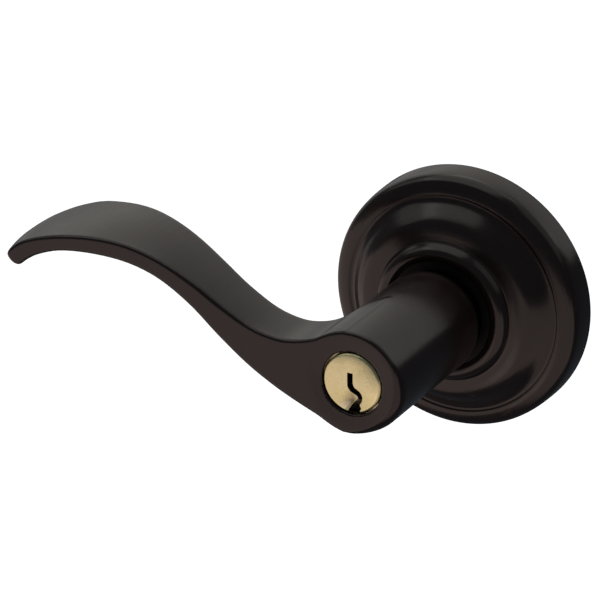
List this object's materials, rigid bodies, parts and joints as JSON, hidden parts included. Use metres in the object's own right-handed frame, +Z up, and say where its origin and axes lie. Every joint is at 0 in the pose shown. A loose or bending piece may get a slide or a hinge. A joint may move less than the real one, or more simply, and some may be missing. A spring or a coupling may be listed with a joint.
{
  "type": "keyed lever handle lockset, outside half",
  "caption": "Dark bronze wave-shaped door lever on a stepped round rose, with a brass key cylinder in the lever's head",
  "frame": {"origin": "on the lock's axis, in the plane of the door's outer face", "axes": "+X runs from the lever's free end towards the lock's axis and on, +Y points into the door, +Z points up"},
  "size_m": [0.1283, 0.096, 0.0666],
  "materials": {
    "bronze": "dark rubbed bronze, satin",
    "brass": "polished face, plain elsewhere",
    "steel": "zinc plated",
    "cast_zinc": "as cast, dull",
    "spring_steel": "oiled spring wire",
    "black_steel": "black oxide",
    "nylon": "moulded"
  },
  "bodies": {
    "chassis": {"rose_cover": "bronze", "rose_set_screw": "black_steel", "rose_bushing": "nylon", "mounting_plate": "cast_zinc", "mounting_post_left": "steel", "mounting_post_right": "steel", "spring_housing": "cast_zinc", "housing_screw_1": "steel", "housing_screw_2": "steel", "housing_screw_3": "steel", "return_spring": "spring_steel", "wave_washer": "spring_steel"},
    "lever": {"lever_handle": "bronze", "spindle_tube": "black_steel", "retaining_ring": "spring_steel", "spring_driver": "steel", "spindle_insert": "cast_zinc", "catch_spring": "spring_steel", "spindle_cap": "cast_zinc", "drive_spindle": "steel", "cylinder_shell": "brass", "chamber_cover": "brass", "pin_spring_1": "spring_steel", "pin_spring_2": "spring_steel", "pin_spring_3": "spring_steel", "pin_spring_4": "spring_steel", "pin_spring_5": "spring_steel"},
    "plug": {"key_plug": "brass", "plug_retainer": "steel", "tailpiece": "brass"},
    "catch": {"lever_catch": "steel"},
    "driver_pin_1": {"driver_pin_1": "steel"},
    "key_pin_1": {"key_pin_1": "brass"},
    "driver_pin_2": {"driver_pin_2": "steel"},
    "key_pin_2": {"key_pin_2": "brass"},
    "driver_pin_3": {"driver_pin_3": "steel"},
    "key_pin_3": {"key_pin_3": "brass"},
    "driver_pin_4": {"driver_pin_4": "steel"},
    "key_pin_4": {"key_pin_4": "brass"},
    "driver_pin_5": {"driver_pin_5": "steel"},
    "key_pin_5": {"key_pin_5": "brass"}
  },
  "joints": [
    {"name": "lever_turn", "type": "hinge", "parent": "chassis", "child": "lever", "pos_m": [0, 0, 0], "axis": [0, -1, 0], "range_deg": [0, 50], "stiffness_Nm_per_rad": 1.2, "springref_deg": -28.65, "deforming": ["return_spring"]},
    {"name": "plug_turn", "type": "hinge", "parent": "lever", "child": "plug", "pos_m": [0, -0.05, 0], "axis": [0, -1, 0], "range_deg": [-90, 90]},
    {"name": "lever_release", "type": "slide", "parent": "lever", "child": "catch", "axis": [0, 0, 1], "range_m": [0, 0.0018], "stiffness_N_per_m": 400, "springref_m": -0.002, "deforming": ["catch_spring"]},
    {"name": "driver_pin_1_lift", "type": "slide", "parent": "lever", "child": "driver_pin_1", "axis": [0, 0, 1], "range_m": [0, 0.0009], "stiffness_N_per_m": 200, "springref_m": -0.001, "deforming": ["pin_spring_1"]},
    {"name": "key_pin_1_drop", "type": "slide", "parent": "plug", "child": "key_pin_1", "axis": [0, 0, 1], "range_m": [-0.0009, 0]},
    {"name": "driver_pin_2_lift", "type": "slide", "parent": "lever", "child": "driver_pin_2", "axis": [0, 0, 1], "range_m": [0, 0.0009], "stiffness_N_per_m": 200, "springref_m": -0.001, "deforming": ["pin_spring_2"]},
    {"name": "key_pin_2_drop", "type": "slide", "parent": "plug", "child": "key_pin_2", "axis": [0, 0, 1], "range_m": [-0.0009, 0]},
    {"name": "driver_pin_3_lift", "type": "slide", "parent": "lever", "child": "driver_pin_3", "axis": [0, 0, 1], "range_m": [0, 0.0009], "stiffness_N_per_m": 200, "springref_m": -0.001, "deforming": ["pin_spring_3"]},
    {"name": "key_pin_3_drop", "type": "slide", "parent": "plug", "child": "key_pin_3", "axis": [0, 0, 1], "range_m": [-0.0009, 0]},
    {"name": "driver_pin_4_lift", "type": "slide", "parent": "lever", "child": "driver_pin_4", "axis": [0, 0, 1], "range_m": [0, 0.0009], "stiffness_N_per_m": 200, "springref_m": -0.001, "deforming": ["pin_spring_4"]},
    {"name": "key_pin_4_drop", "type": "slide", "parent": "plug", "child": "key_pin_4", "axis": [0, 0, 1], "range_m": [-0.0009, 0]},
    {"name": "driver_pin_5_lift", "type": "slide", "parent": "lever", "child": "driver_pin_5", "axis": [0, 0, 1], "range_m": [0, 0.0009], "stiffness_N_per_m": 200, "springref_m": -0.001, "deforming": ["pin_spring_5"]},
    {"name": "key_pin_5_drop", "type": "slide", "parent": "plug", "child": "key_pin_5", "axis": [0, 0, 1], "range_m": [-0.0009, 0]}
  ]
}
